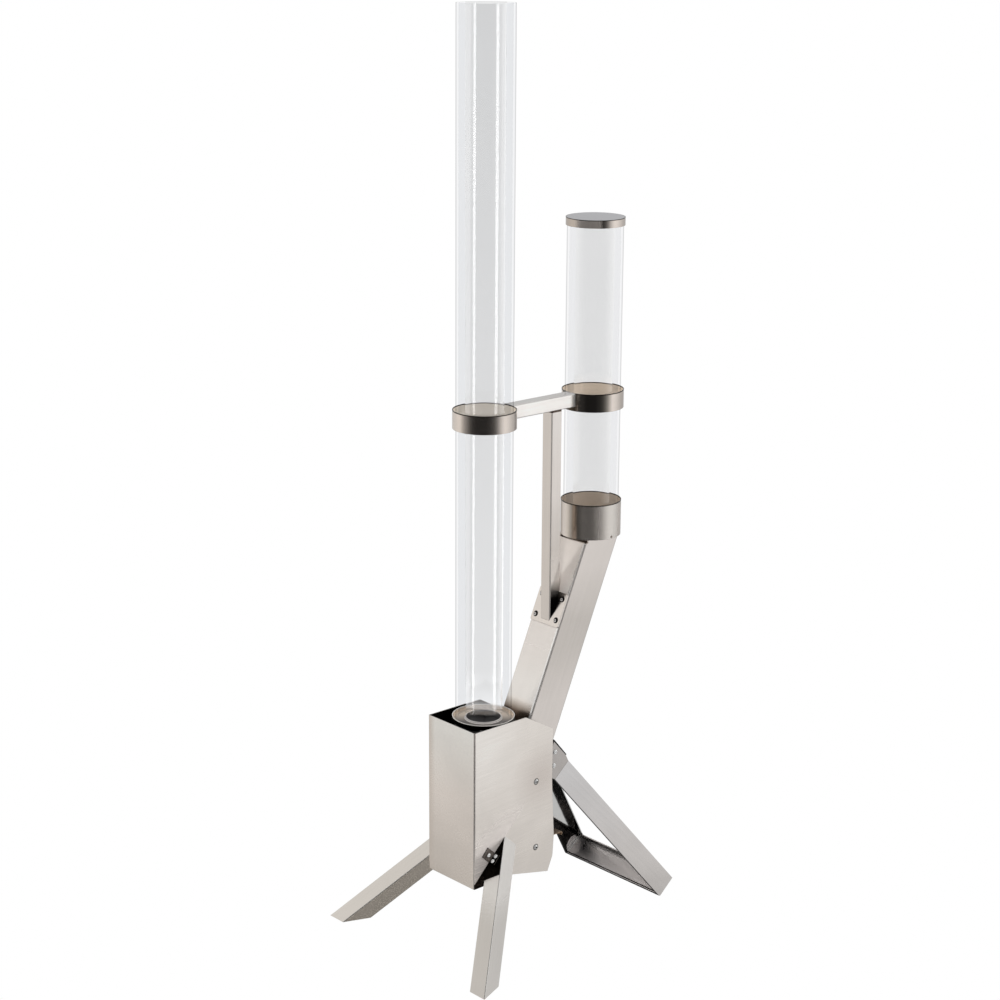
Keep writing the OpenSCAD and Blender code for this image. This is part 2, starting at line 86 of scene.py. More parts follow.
def make_camera():
    ahead = Vector((-math.sin(CAM_YAW) * math.cos(CAM_PITCH),
                    math.cos(CAM_YAW) * math.cos(CAM_PITCH), math.sin(CAM_PITCH)))
    level = Vector((math.cos(CAM_YAW), math.sin(CAM_YAW), 0))
    upright = level.cross(ahead)
    right = math.cos(CAM_ROLL) * level + math.sin(CAM_ROLL) * upright
    up = math.cos(CAM_ROLL) * upright - math.sin(CAM_ROLL) * level
    data = bpy.data.cameras.new("camera")
    data.sensor_width = SENSOR
    data.lens = FOCAL * SENSOR / PHOTO_WIDTH
    camera = bpy.data.objects.new("camera", data)
    scene.collection.objects.link(camera)
    placed = Matrix((right, up, -ahead)).transposed().to_4x4()
    placed.translation = CAM_PLACE
    camera.matrix_world = placed
    scene.camera = camera


make_camera()
scene.view_settings.view_transform = "Standard"


# ---------------------------------------------------------------- node helpers
class Tree:
    """Adds shader nodes to a tree and links them."""

    def __init__(self, tree):
        self.tree = tree
        tree.nodes.clear()

    def put(self, socket, value):
        """Links a socket, or sets a number, vector or colour."""
        if isinstance(value, bpy.types.NodeSocket):
            self.tree.links.new(value, socket)
        elif socket.type == "RGBA" and len(value) == 3:
            socket.default_value = (*value, 1)
        else:
            socket.default_value = value

    def add(self, kind, **values):
        """New node; each value is a setting of that name, or else an input."""
        node = self.tree.nodes.new("ShaderNode" + kind)
        for key, value in values.items():
            if hasattr(node, key):
                setattr(node, key, value)
            else:
                self.put(node.inputs[key.replace("_", " ")], value)
        return node

    def result(self, kind, *inputs, **values):
        """First output of a new node; inputs go to its sockets in their order."""
        node = self.add(kind, **values)
        for socket, value in zip(node.inputs, inputs):
            self.put(socket, value)
        return node.outputs[0]

    def math(self, operation, *terms):
        return self.result("Math", *terms, operation=operation)

    def plus(self, total, *others):
        for other in others:
            total = self.math("ADD", total, other)
        return total

    def times(self, product, *others):
        for other in others:
            product = self.math("MULTIPLY", product, other)
        return product

    def minus(self, a, b):
        return self.math("SUBTRACT", a, b)

    def less(self, a, b):
        return self.math("LESS_THAN", a, b)

    def more(self, a, b):
        return self.math("GREATER_THAN", a, b)

    def size(self, a):
        return self.math("ABSOLUTE", a)

    def length(self, a, b):
        return self.math("SQRT", self.plus(self.times(a, a), self.times(b, b)))

    def step(self, value, start, end):
        """Rises from 0 at start to 1 at end; start may lie above end."""
        return self.result("MapRange", value, start, end)

    def band(self, value, low, high, soft):
        """1 between low and high, fading over soft outside them."""
        return self.times(self.step(value, low - soft, low), self.step(value, high + soft, high))

    def ramp(self, value, stops):
        """Colour by value; a stop is (position, level or colour)."""
        node = self.add("ValToRGB")
        elements = node.color_ramp.elements
        while len(elements) < len(stops):
            elements.new(0.5)
        for element, (position, tone) in zip(elements, stops):
            element.position = position
            element.color = (tone, tone, tone, 1) if isinstance(tone, float) else (*tone, 1)
        self.put(node.inputs[0], value)
        return node.outputs[0]

    def mix(self, share, a, b, mode="MIX"):
        """Mixes two colours."""
        node = self.add("Mix", data_type="RGBA", blend_type=mode)
        for socket, value in zip((node.inputs[0], node.inputs[6], node.inputs[7]), (share, a, b)):
            self.put(socket, value)
        return node.outputs[2]

    def split(self, vector):
        return self.add("SeparateXYZ", Vector=vector).outputs

    def seen(self):
        """1 for what is seen directly or through the glass."""
        rays = self.add("LightPath").outputs
        return self.math("MAXIMUM", rays["Is Camera Ray"], rays["Is Transmission Ray"])


def new_material(name):
    material = bpy.data.materials.new(name)
    material.use_nodes = True
    return material, Tree(material.node_tree)


def scaled(color, factor):
    return tuple(factor * part for part in color)


# ---------------------------------------------------------------- studio
WHITE = (1.0, 1.0, 1.0)
WARM_SIDE = (1.025, 1.0, 0.965)  # tint of what the metal mirrors from the picture's left
STREAK = 9.0  # strip lights, seen only as sharp reflections in the glass
SHARP = 5.0  # full level of the other sharp reflections
FRONT_LEVELS = (0.69, 0.0)  # of the glass towards the camera, below and above
FRONT_CHANGE = (-21, -2)  # elevations between which they change over
STRIP_FOOT = (-23, -21)  # elevations over which the strip lights set in

# What the metal mirrors: light sides, dark towards the camera. Each belt is an elevation and its
# levels by azimuth, in degrees from the camera's side of the part towards the picture's right.
BELTS = [
    (-64, [(-180, 0.05), (0, 0.04), (40, 0.14), (60, 0.22), (80, 0.06), (99, 0.02), (180, 0.05)]),
    (-38, [(-180, 0.08), (-150, 0.10), (-120, 0.30), (-97, 0.60), (-85, 0.34), (-60, 0.08), (-20, 0.03),
           (20, 0.03), (45, 0.12), (70, 0.45), (95, 0.62), (118, 0.51), (140, 0.35), (165, 0.10),
           (180, 0.08)]),
    (-18, [(-180, 0.62), (-135, 0.68), (-105, 0.78), (-95, 0.71), (-86, 0.46), (-76, 0.28), (-64, 0.17),
           (-54, 0.08), (-44, 0.030), (-25, 0.012), (10, 0.014), (25, 0.040), (36, 0.085), (46, 0.20),
           (56, 0.45), (66, 0.69), (76, 0.85), (86, 0.84), (104, 0.65), (125, 0.46), (145, 0.42),
           (165, 0.55), (180, 0.62)]),
    (14, [(-180, 0.45), (-150, 0.60), (-120, 0.76), (-102, 0.87), (-90, 0.84), (-80, 0.60), (-70, 0.38),
          (-55, 0.10), (-42, 0.02), (-20, 0.008), (20, 0.008), (38, 0.05), (50, 0.22), (62, 0.60),
          (75, 0.86), (95, 0.86), (116, 0.78), (145, 0.60), (180, 0.45)]),
    (34, [(-180, 0.38), (-150, 0.50), (-120, 0.58), (-103, 0.66), (-88, 0.60), (-72, 0.36), (-58, 0.08),
          (-45, 0.015), (20, 0.008), (40, 0.02), (60, 0.20), (80, 0.50), (105, 0.62), (145, 0.5),
          (180, 0.38)]),
    (48, [(-180, 0.22), (-113, 0.30), (-90, 0.30), (-66, 0.05), (-40, 0.010), (20, 0.010), (50, 0.04),
          (85, 0.32), (114, 0.50), (150, 0.35), (180, 0.22)]),
    (74, [(-180, 0.30), (-90, 0.22), (-40, 0.02), (30, 0.02), (90, 0.28), (180, 0.30)])]
# Two strip lights, on or off by azimuth.
STRIPS = [(-180, 0), (-48.5, 0), (-47, 1), (-38.5, 1), (-36.5, 0), (39, 0), (41, 1), (51, 1), (53, 0),
          (180, 0)]


def glass_belt(front):
    """What the glass mirrors by azimuth; front is its level towards the camera."""
    return [(-180, 0.17), (-150, 0.22), (-122, 0.50), (-105, 0.74), (-62, 0.76), (-55, 0.34),
            (-49, 0.34), (-38, 0.2), (-34, front), (22, front), (32, front + 0.06), (50, front + 0.06),
            (54, 0.30), (61, 0.50), (67, 0.78), (77, 1.0), (92, 1.0), (100, 0.84), (108, 0.60),
            (120, 0.36), (132, 0.2), (180, 0.17)]


def make_world():
    """Studio seen in the metal and the glass, and plain white where it is seen directly."""
    world = bpy.data.worlds.new("studio")
    world.use_nodes = True
    scene.world = world
    t = Tree(world.node_tree)
    x, y, z = t.split(t.add("TexCoord").outputs["Generated"])
    azimuth = t.plus(t.math("ARCTAN2", y, x), math.pi / 2 - CAM_YAW)
    turn = t.math("FRACT", t.plus(t.math("DIVIDE", azimuth, 2 * math.pi), 0.5))
    elevation = t.times(t.math("ARCSINE", z), 180 / math.pi)

    def around(levels):
        return t.ramp(turn, [(degrees / 360 + 0.5, float(level)) for degrees, level in levels])

    metal = around(BELTS[0][1])
    for (below, _), (above, levels) in zip(BELTS, BELTS[1:]):
        metal = t.mix(t.step(elevation, below, above), metal, around(levels))
    tint = t.ramp(turn, [(0.0, WHITE), (0.25, WARM_SIDE), (0.5, WHITE)])
    metal = t.mix(1.0, metal, tint, "MULTIPLY")

    low, high = [around(glass_belt(front)) for front in FRONT_LEVELS]
    sharp = t.mix(t.step(elevation, *FRONT_CHANGE), low, high)
    sharp = t.mix(1.0, sharp, scaled(WHITE, SHARP), "MULTIPLY")
    strips = t.times(around(STRIPS), t.step(elevation, *STRIP_FOOT))
    sharp = t.mix(strips, sharp, scaled(WHITE, STREAK))

    mirrored = t.mix(t.add("LightPath").outputs["Is Singular Ray"], metal, sharp)
    back = t.result("Background", t.mix(t.seen(), mirrored, WHITE))
    t.add("OutputWorld", Surface=back)


def make_lamp(name, place, aim_height, size, power):
    """Square area light that itself shows neither in the metal nor through the glass."""
    data = bpy.data.lights.new(name, "AREA")
    data.shape = "SQUARE"
    data.size = size
    data.energy = power
    lamp = bpy.data.objects.new(name, data)
    lamp.location = place
    aim = Vector((0, 0, aim_height)) - Vector(place)
    lamp.rotation_euler = aim.to_track_quat("-Z", "Y").to_euler()
    lamp.visible_glossy = False
    lamp.visible_camera = False
    lamp.visible_transmission = False
    scene.collection.objects.link(lamp)


FLOOR_HALF = 30
FLOOR_DROP = 0.0004  # keeps the floor clear of the soles
FLOOR_GREY = 0.85


def make_floor():
    """Grey to the part, white to the camera."""
    mesh = bpy.data.meshes.new("floor")
    corners = [(x * FLOOR_HALF, y * FLOOR_HALF, 0) for x, y in ((-1, -1), (1, -1), (1, 1), (-1, 1))]
    mesh.from_pydata(corners, [], [(0, 1, 2, 3)])
    floor = bpy.data.objects.new("floor", mesh)
    floor.location.z = -FLOOR_DROP
    scene.collection.objects.link(floor)
    material, t = new_material("floor")
    grey = t.result("BsdfDiffuse", scaled(WHITE, FLOOR_GREY))
    t.add("OutputMaterial", Surface=t.result("MixShader", t.seen(), grey, t.result("Emission", WHITE)))
    floor.data.materials.append(material)
    floor.visible_glossy = False


make_world()
make_floor()
make_lamp("key_left", (-2.6, -1.6, 2.6), 0.7, 1.6, 30)
make_lamp("key_right", (2.6, 1.8, 2.4), 0.7, 1.6, 30)
make_lamp("front_fill", (2.2, -2.4, 3.0), 0.9, 1.8, 100)


# ---------------------------------------------------------------- masks
# A mask takes a tree and the x, y and z of a place, and gives 1 where its layer's tone shows.
def beyond(axis, limit):
    return lambda t, *place: t.more(place[axis], limit)


def before(axis, limit):
    return lambda t, *place: t.less(place[axis], limit)


def central(limit):
    """What lies nearer than limit to the middle plane."""
    return lambda t, x, y, z: t.less(t.size(x), limit)


def fade(axis, start, end):
    return lambda t, *place: t.step(place[axis], start, end)


def hump(axis, centre, half):
    """Soft band across one coordinate."""
    core = half / 5
    return lambda t, *place: t.step(t.size(t.minus(place[axis], centre)), half, core)


def strip(axis, low, high, soft):
    return lambda t, *place: t.band(place[axis], low, high, soft)


def side_spot(spot_y, spot_z, radius, inner):
    """Round patch as seen from the side, full inside inner."""
    return lambda t, x, y, z: t.step(t.length(t.minus(y, spot_y), t.minus(z, spot_z)), radius, inner)


def along(t, place, weights, at=(0, 0, 0)):
    """How far a place lies from a point in a slanting direction: a weighted sum of x, y and z."""
    terms = [t.times(t.minus(value, zero), weight)
             for value, zero, weight in zip(place, at, weights) if weight]
    return t.plus(*terms)


def slant(weights, start, end, at=(0, 0, 0)):
    """Fade in a slanting direction."""
    return lambda t, *place: t.step(along(t, place, weights, at), start, end)


def reach(t, x, y, axis_y):
    """Distance from the upright axis at axis_y."""
    return t.length(x, t.minus(y, axis_y))


def within(radius, axis_y):
    return lambda t, x, y, z: t.less(reach(t, x, y, axis_y), radius)


def outside(radius, axis_y):
    return lambda t, x, y, z: t.more(reach(t, x, y, axis_y), radius)


def reflection_sector(low, high, soft_low, soft_high):
    """Sector of a sleeve round the hopper axis, in degrees as for the belts, with a fade at each end; it
    carries painted reflection bands.
    """
    def mask(t, x, y, z):
        angle = t.times(t.math("ARCTAN2", t.minus(y, HOPPER_Y), x), 180 / math.pi)
        turn = t.plus(angle, 90 - math.degrees(CAM_YAW))
        return t.times(t.step(turn, low - soft_low, low), t.step(turn, high + soft_high, high))
    return mask


def normal(t, axis):
    return t.split(t.add("TexCoord").outputs["Normal"])[axis]


def facing(axis, low):
    """Faces whose normal has a part along the axis above low."""
    return lambda t, *place: t.more(normal(t, axis), low)


def turned_from(axis, high):
    """Faces whose normal has a part along the axis below high."""
    return lambda t, *place: t.less(normal(t, axis), high)


def both(*masks):
    """1 where all the masks show."""
    return lambda t, *place: t.times(*[mask(t, *place) for mask in masks])


def either(*masks):
    """Sum of masks that don't overlap."""
    return lambda t, *place: t.plus(*[mask(t, *place) for mask in masks])


def on(panel, *layers):
    """Keeps layers to one panel."""
    return [(both(panel, mask), tone, metallic) for mask, tone, metallic in layers]


# ---------------------------------------------------------------- metals
LINES = (1400, 16, 3.0)  # noise scale across and along the brush lines, and its detail
BANDS = (190, 6, 4.0)  # the same for the wider bands among them
LINE_SHADE, CLOUD_SHADE = 0.5, 0.6  # share in the tone of the lines and of the mottling
LINE_ROUGH, CLOUD_ROUGH = 0.08, 0.06  # the same in the roughness
GRAIN_CONTRAST = 0.22
GRAIN_RELIEF = (0.03, 0.0003)  # bump strength and depth
SPECK_SCALE = 60.0
SPECK_ROUGH = 0.2
SPECK_RELIEF = (0.15, 0.0004)
SPECK_EDGE_R = 0.0005
EDGE_SAMPLES = 4


def layered(t, coord, tone, metallic, layers):
    """Lays (mask, tone, metallic) over a base."""
    place = t.split(coord)
    for mask, layer_tone, layer_metallic in layers:
        share = mask(t, *place)
        tone = t.mix(share, tone, layer_tone)
        metallic = t.math("MULTIPLY_ADD", share, t.minus(layer_metallic, metallic), metallic)
    return tone, metallic


def finish_metal(t, color, metallic, rough, height, relief, edge_r):
    """Metal with a fine relief and, if edge_r is given, rounded edges."""
    strength, depth = relief
    bump = t.add("Bump", Strength=strength, Distance=depth, Height=height)
    if edge_r:
        t.put(bump.inputs["Normal"], t.result("Bevel", edge_r, samples=EDGE_SAMPLES))
    bsdf = t.add("BsdfPrincipled", Base_Color=color, Metallic=metallic, Roughness=rough,
                 Normal=bump.outputs[0])
    t.add("OutputMaterial", Surface=bsdf.outputs[0])


def brushed(name, tone, grain, rough=0.14, streak=0.4, mottle=0.5, turn=(0, 0, 0), layers=(), metal=1.0,
            edge_r=0.0006, cloud_scale=11.0):
    """Brushed stainless sheet. grain: axis of the brush lines after turn (degrees), or "ring"."""
    material, t = new_material(name)
    coord = t.add("TexCoord").outputs["Object"]
    turned = t.result("Mapping", coord, Rotation=[math.radians(angle) for angle in turn])

    def stretched(across, lengthwise, detail):
        """Noise drawn out along the brush lines."""
        scale = [across] * 3
        if grain == "ring":
            scale[X] = scale[Y] = lengthwise
        else:
            scale[grain] = lengthwise
        return t.result("TexNoise", t.result("Mapping", turned, Scale=scale), Scale=1.0, Detail=detail,
                        Roughness=0.6)

    def centred(value, gain):
        return t.times(t.minus(value, 0.5), gain)

    lines = stretched(*LINES)
    bands = stretched(*BANDS)
    cloud = t.result("TexNoise", coord, Scale=cloud_scale, Detail=3.0, Roughness=0.55, Distortion=0.4)
    shade = t.plus(centred(lines, LINE_SHADE * streak), centred(bands, LINE_SHADE * streak),
                   centred(cloud, CLOUD_SHADE * mottle), 0.5)
    grain_tone = t.mix(shade, scaled(WHITE, 1 - GRAIN_CONTRAST), scaled(WHITE, 1 + GRAIN_CONTRAST))
    color, metallic = layered(t, coord, tone, metal, layers)
    color = t.mix(1.0, t.mix(1.0, color, grain_tone, "MULTIPLY"), WHITE, "DARKEN")
    uneven = t.plus(centred(lines, LINE_ROUGH), rough, centred(cloud, CLOUD_ROUGH))
    finish_metal(t, color, metallic, uneven, lines, GRAIN_RELIEF, edge_r)
    return material


def plain_metal(name, tone, rough, speck=0.2, metallic=1.0, layers=()):
    """Unbrushed metal with a fine speckle."""
    material, t = new_material(name)
    coord = t.add("TexCoord").outputs["Object"]
    noise = t.result("TexNoise", coord, Scale=SPECK_SCALE, Detail=5.0, Roughness=0.6)
    light = tuple(min(1, part) for part in scaled(tone, 1 + speck))
    speckled = t.mix(noise, scaled(tone, 1 - speck), light)
    color, metallic = layered(t, coord, speckled, metallic, layers)
    uneven = t.plus(t.times(noise, SPECK_ROUGH), rough - SPECK_ROUGH / 2)
    finish_metal(t, color, metallic, uneven, noise, SPECK_RELIEF, SPECK_EDGE_R)
    return material


def dress(material, *node_names):
    for node_name in node_names:
        slots = nodes[node_name].data.materials
        slots.clear()
        slots.append(material)


# Near-black tone of painted shade: the shroud's inside, the cap's upper edge and the seat's outside.
PAINTED_SHADE = (0.06, 0.052, 0.045)
RIM = (0.06, 0.045, 0.035)
RING = (0.835, 0.752, 0.686)
SKIN = 0.0008  # depth taken as the outside of the shroud's sheet
INSIDE = 0.0014  # depth at which its inside starts
WALL = 0.0009  # depth at which the inside of a ring or the collar starts
LIP = 0.0016  # height of the dark top edge of a ring or the collar

# ---------------------------------------------------------------- shroud
SCREW_Y = middle("shroud_screws", Y)
SCREW_R = SCREW_Y - lowest("shroud_screws").y
SCREW_LEVELS = (lowest("shroud_screws").z + SCREW_R, highest("shroud_screws").z - SCREW_R)
NEAR_FOLD = (0.0032, 0.0026)  # distances from the near corner over which the painted shade along its fold sets in
PEAK_LIGHT = (0.400, 0.408)  # heights over which painted light sets in on the inside behind the flame tube
LEG_ZONE = 0.26  # top of the zone of the side that mirrors the right leg
LEG_EDGE = 0.2925  # z minus y along the edge of the leg's dark side
LEG_SOFT = 0.0008
SHADE_BACK = -0.0929  # y at which the leg's shade ends

front_panel = before(Y, SHROUD_FRONT + SKIN)
side_panel = beyond(X, SHROUD_HALF - SKIN)
shroud_inside = both(central(SHROUD_HALF - INSIDE), beyond(Y, SHROUD_FRONT + INSIDE))
shroud_fold_shade = slant((-1, 1, 0), *NEAR_FOLD, at=(SHROUD_HALF, SHROUD_FRONT, 0))
shroud_peak_light = both(shroud_inside, fade(Y, FLAME_Y, FLAME_Y + 0.03), fade(Z, *PEAK_LIGHT))


def screw_shade_spots(radius, inner):
    """Round patches at the two screws in the shroud's side, for painted shade round the screws and in
    their sockets.
    """
    return either(*[side_spot(SCREW_Y, level, radius, inner) for level in SCREW_LEVELS])


def over_leg(start, end):
    """Fade by how far a place on the side lies above the edge of the right leg's dark side."""
    return slant((0, -1, 1), LEG_EDGE + start, LEG_EDGE + end)


leg_zone = both(side_panel, before(Z, LEG_ZONE))
# Painted light on the panel just clear of the leg, dull enough not to mirror it.
leg_clear_light = both(leg_zone, over_leg(0.10, 0.03), over_leg(-LEG_SOFT, LEG_SOFT), fade(Z, LEG_ZONE, 0.21))
leg_shade = both(leg_zone, before(Y, SHADE_BACK), over_leg(LEG_SOFT, -LEG_SOFT))

# Painted light and shade on the shroud: its front lighter towards the top and darker towards the bottom
# and the left end; its side with a lighter patch near the top, a darker patch in the middle and darker
# towards the bottom.
dress(brushed("shroud_brushed", (0.90, 0.845, 0.79), Y, rough=0.26, streak=0.6, mottle=1.3,
              turn=(-3, 0, 0), cloud_scale=7.0,
              layers=[(front_panel, (0.905, 0.84, 0.79), 1.0),
                      *on(front_panel, (fade(Z, 0.28, 0.40), (0.99, 0.975, 0.94), 1.0),
                          (fade(Z, 0.27, 0.12), (0.775, 0.715, 0.66), 1.0),
                          (fade(X, -0.045, -0.062), (0.76, 0.69, 0.63), 1.0)),
                      *on(side_panel, (side_spot(-0.15, 0.385, 0.11, 0.02), (0.985, 0.94, 0.89), 1.0),
                          (side_spot(0.0, 0.29, 0.08, 0.01), (0.74, 0.675, 0.625), 1.0),
                          (fade(Z, 0.28, 0.14), (0.80, 0.745, 0.69), 1.0)),
                      (shroud_inside, PAINTED_SHADE, 1.0),
                      (shroud_peak_light, (0.30, 0.27, 0.25), 0.5),
                      (shroud_fold_shade, (0.62, 0.575, 0.54), 0.7),
                      (screw_shade_spots(0.0068, 0.0056), (0.10, 0.09, 0.08), 0.9),
                      (leg_clear_light, (0.78, 0.72, 0.68), 0.35),
                      (leg_shade, (0.035, 0.025, 0.02), 0.9)]), "shroud")
dress(plain_metal("shroud_screw_steel", (0.92, 0.92, 0.91), 0.14, speck=0.06, metallic=0.6,
                  layers=[(screw_shade_spots(0.0022, 0.0016), (0.03, 0.03, 0.03), 0.9)]), "shroud_screws")

# ---------------------------------------------------------------- feed chute and hopper collar
CHUTE_FACE = -0.0405  # depth at which the chute's front ends
CHUTE_FOLD = (-0.0393, -0.0400)  # depths over which its side turns into the fold
CHUTE_ROUND = 0.0016  # width of its rounded edge as seen from the front


def chute_depth(t, place):
    """Distance behind the chute's centre line, level with it."""
    return along(t, place, (0, 1, -math.tan(CHUTE_TILT)), at=(0, HOPPER_Y, CHUTE_MEET))


def chute_front(t, *place):
    return t.less(chute_depth(t, place), CHUTE_FACE)


def past_fold(t, *place):
    return t.more(chute_depth(t, place), CHUTE_FOLD[0])


def on_fold(t, *place):
    return t.step(chute_depth(t, place), *CHUTE_FOLD)


chute_right = beyond(X, CHUTE_HALF - CHUTE_ROUND)
chute_side = both(chute_right, past_fold)
chute_seam = both(chute_right, on_fold)
chute_highlight = both(chute_front, strip(X, 0.0325, 0.0360, 0.0006))  # painted highlight: a bright line beside the seam
chute_foot_shade = both(chute_front, fade(Z, 0.422, 0.402))  # painted shade at the foot, where the chute mirrors the dark box

# Painted light and shade on the chute: its front darker and duller towards the top, lighter and then
# warmer towards the foot; its side darker in a band.
dress(brushed("chute_brushed", (0.785, 0.73, 0.69), Z, rough=0.22, turn=(CHUTE_LEAN, 0, 0),
              layers=[(chute_front, (0.87, 0.83, 0.80), 0.9),
                      *on(chute_front, (fade(Z, 0.60, 0.68), (0.72, 0.65, 0.60), 0.7),
                          (hump(Z, 0.62, 0.13), (0.80, 0.745, 0.70), 0.22),
                          (fade(Z, 0.50, 0.455), (0.93, 0.90, 0.87), 0.8),
                          (fade(Z, 0.428, 0.408), (0.86, 0.78, 0.70), 0.8)),
                      *on(chute_side, (hump(Z, 0.54, 0.12), (0.66, 0.615, 0.575), 1.0)),
                      (chute_foot_shade, (0.16, 0.115, 0.085), 0.9),
                      (chute_seam, (0.45, 0.42, 0.40), 0.35),
                      (chute_highlight, (0.98, 0.965, 0.95), 0.8)]), "feed_chute")
# Painted reflection bands on the collar by sector: darker on the left, a duller light band on the right;
# its warm inside is painted bounced light.
dress(brushed("collar_brushed", (0.82, 0.745, 0.685), "ring", rough=0.22, streak=0.3, metal=0.88,
              layers=[(reflection_sector(-90, -78, 5, 12), (0.46, 0.39, 0.33), 1.0),
                      (reflection_sector(-46, -32, 14, 14), (0.62, 0.565, 0.51), 1.0),
                      (reflection_sector(34, 52, 34, 14), (0.71, 0.67, 0.625), 0.55),
                      (within(COLLAR_R - WALL, HOPPER_Y), (0.80, 0.66, 0.53), 0.15),
                      (beyond(Z, COLLAR_TOP - LIP), RIM, 0.85)]), "hopper_collar")

# ---------------------------------------------------------------- hopper cap
CAP_WALL = 0.00105  # depth taken as the outside of the cap's skirt
CAP_EDGE = (CAP_TOP - 0.0015, CAP_TOP - 0.0009)  # heights over which the painted shade of its upper edge sets in

cap_plate = beyond(Z, CAP_TOP - 0.0005)
cap_edge_shade = both(outside(CAP_R - CAP_WALL, HOPPER_Y), fade(Z, *CAP_EDGE))

# Painted reflection bands on the cap's skirt by sector, darker on the left; painted shade along its upper
# edge.
dress(brushed("cap_brushed", RING, "ring", rough=0.12, streak=0.3,
              layers=[(reflection_sector(-78, -50, 20, 10), (0.60, 0.53, 0.47), 1.0),
                      (reflection_sector(-34, 4, 8, 8), (0.42, 0.38, 0.35), 0.6),
                      (cap_plate, (0.80, 0.80, 0.84), 1.0),
                      (cap_edge_shade, PAINTED_SHADE, 1.0)]), "hopper_cap")

# ---------------------------------------------------------------- bracket
FOOT_SCREW_X = 0.0268
FOOT_SCREW_LEVELS = (0.5684, 0.6050)
FOOT_SCREW_SOFT = 0.0004
FAR = 1.0  # beyond any distance on the part
CORNER_WIDTH = 0.0016
POST_SKIN = 0.0007  # depth taken as a face of the post
BAR_SHADE = (POST_TOP - 0.0032, POST_TOP - 0.0020)  # heights over which the bar shades the post


def foot_shade_ring(low, high):
    """Ring of painted shade round each screw of the post foot, which lies along the sloping chute."""
    def mask(t, x, y, z):
        across = t.minus(t.size(x), FOOT_SCREW_X)
        aways = [t.length(across, t.math("DIVIDE", t.minus(z, level), math.cos(CHUTE_TILT)))
                 for level in FOOT_SCREW_LEVELS]
        return t.band(t.math("MINIMUM", *aways), low, high, FOOT_SCREW_SOFT)
    return mask


def post_corner_shade(t, x, y, z):
    """Painted shade: a dark line along the post's corner towards the camera."""
    across = t.size(t.minus(x, POST_HALF))
    back = t.size(t.minus(y, POST_Y - POST_HALF))
    return t.less(t.plus(across, back), CORNER_WIDTH)


post_right = beyond(X, POST_HALF - POST_SKIN)
# Painted shade in the foot screws' sockets and round their rims.
foot_socket_shade = either(foot_shade_ring(-FAR, 0.0010), foot_shade_ring(0.0032, FAR))

# The rings' warm insides are painted bounced light; the hopper ring's sectors are painted reflection
# bands.
dress(brushed("flame_ring_brushed", RING, "ring", rough=0.15, streak=0.3, metal=0.985,
              layers=[(within(RING_R - WALL, FLAME_Y), (0.92, 0.82, 0.70), 0.1),
                      (beyond(Z, RING_TOP - LIP), RIM, 0.85)]), "flame_ring")
dress(brushed("hopper_ring_brushed", RING, "ring", rough=0.10, streak=0.3,
              layers=[(reflection_sector(-72, -36, 5, 14), (0.10, 0.08, 0.06), 1.0),
                      (reflection_sector(12, 26, 8, 10), (0.55, 0.50, 0.44), 1.0),
                      (within(RING_R - WALL, HOPPER_Y), (0.92, 0.77, 0.62), 0.1),
                      (beyond(Z, RING_TOP - LIP), RIM, 0.85)]), "hopper_ring")
dress(brushed("bar_brushed", (1.0, 0.96, 0.925), Y, streak=0.8, mottle=0.9, metal=0.75), "cross_bar")
# Painted light and shade on the post's right face: lighter at the top, darker and duller lower down, near
# black at its foot.
dress(brushed("post_brushed", (0.795, 0.738, 0.695), Z,
              layers=[*on(post_right, (fade(Z, 0.85, 0.93), (0.86, 0.81, 0.77), 1.0),
                          (fade(Z, 0.80, 0.70), (0.66, 0.607, 0.56), 1.0),
                          (fade(Z, 0.70, 0.655), (0.68, 0.625, 0.575), 0.4),
                          (fade(Z, 0.640, 0.605), (0.02, 0.017, 0.015), 0.9)),
                      (post_corner_shade, (0.44, 0.41, 0.385), 0.3),
                      (fade(Z, *BAR_SHADE), (0.14, 0.10, 0.08), 0.9)]), "support_post")
dress(brushed("post_foot_brushed", (0.84, 0.785, 0.74), Z, turn=(CHUTE_LEAN, 0, 0), rough=0.2,
              layers=[(foot_shade_ring(-FAR, 0.0054), (0.06, 0.055, 0.05), 0.9)]), "post_foot")
dress(plain_metal("foot_screw_steel", (0.74, 0.71, 0.69), 0.14, speck=0.06, metallic=0.25,
                  layers=[(foot_socket_shade, (0.02, 0.02, 0.02), 0.9)]), "post_foot_screws")

# ---------------------------------------------------------------- front legs
LEG_TURN = (42.8, 29.55)  # degrees about x and y that lay the grain along a leg
FOLD_SOFT = 0.02
WEB_SLOPE = 0.644  # rise over run of the edge of the dark that the right leg's front leaf mirrors
WEB_EDGE = (0.0862, 0.0872)  # heights of that edge at the middle plane
CLIP_FLAT = 0.9  # how far the leaf of a clip that lies flat on the shroud faces sideways


def leg_fold(low, high):
    """Part of the rounded edge between the two leaves of a leg, by how far it faces right; it carries
    painted light and shade.
    """
    return lambda t, *place: t.band(normal(t, X), low, high, FOLD_SOFT)


# Painted highlight and painted shade along a leg's fold.
fold_highlight = leg_fold(0.52, 0.82)
fold_shade = leg_fold(0.16, 0.48)
web_shade = both(turned_from(X, 0.16), slant((-WEB_SLOPE, 0, 1), *WEB_EDGE))

# Painted light: the right leg lighter towards its top.
dress(brushed("leg_right_brushed", (0.78, 0.746, 0.708), Z, rough=0.12, turn=(*LEG_TURN, 0), edge_r=0,
              layers=[(fade(Z, 0.085, 0.125), (0.83, 0.80, 0.765), 0.6),
                      (fold_highlight, (0.95, 0.93, 0.90), 0.6),
                      (fold_shade, (0.36, 0.34, 0.32), 0.6),
                      (web_shade, (0.006, 0.005, 0.004), 1.0)]), "front_leg_right")
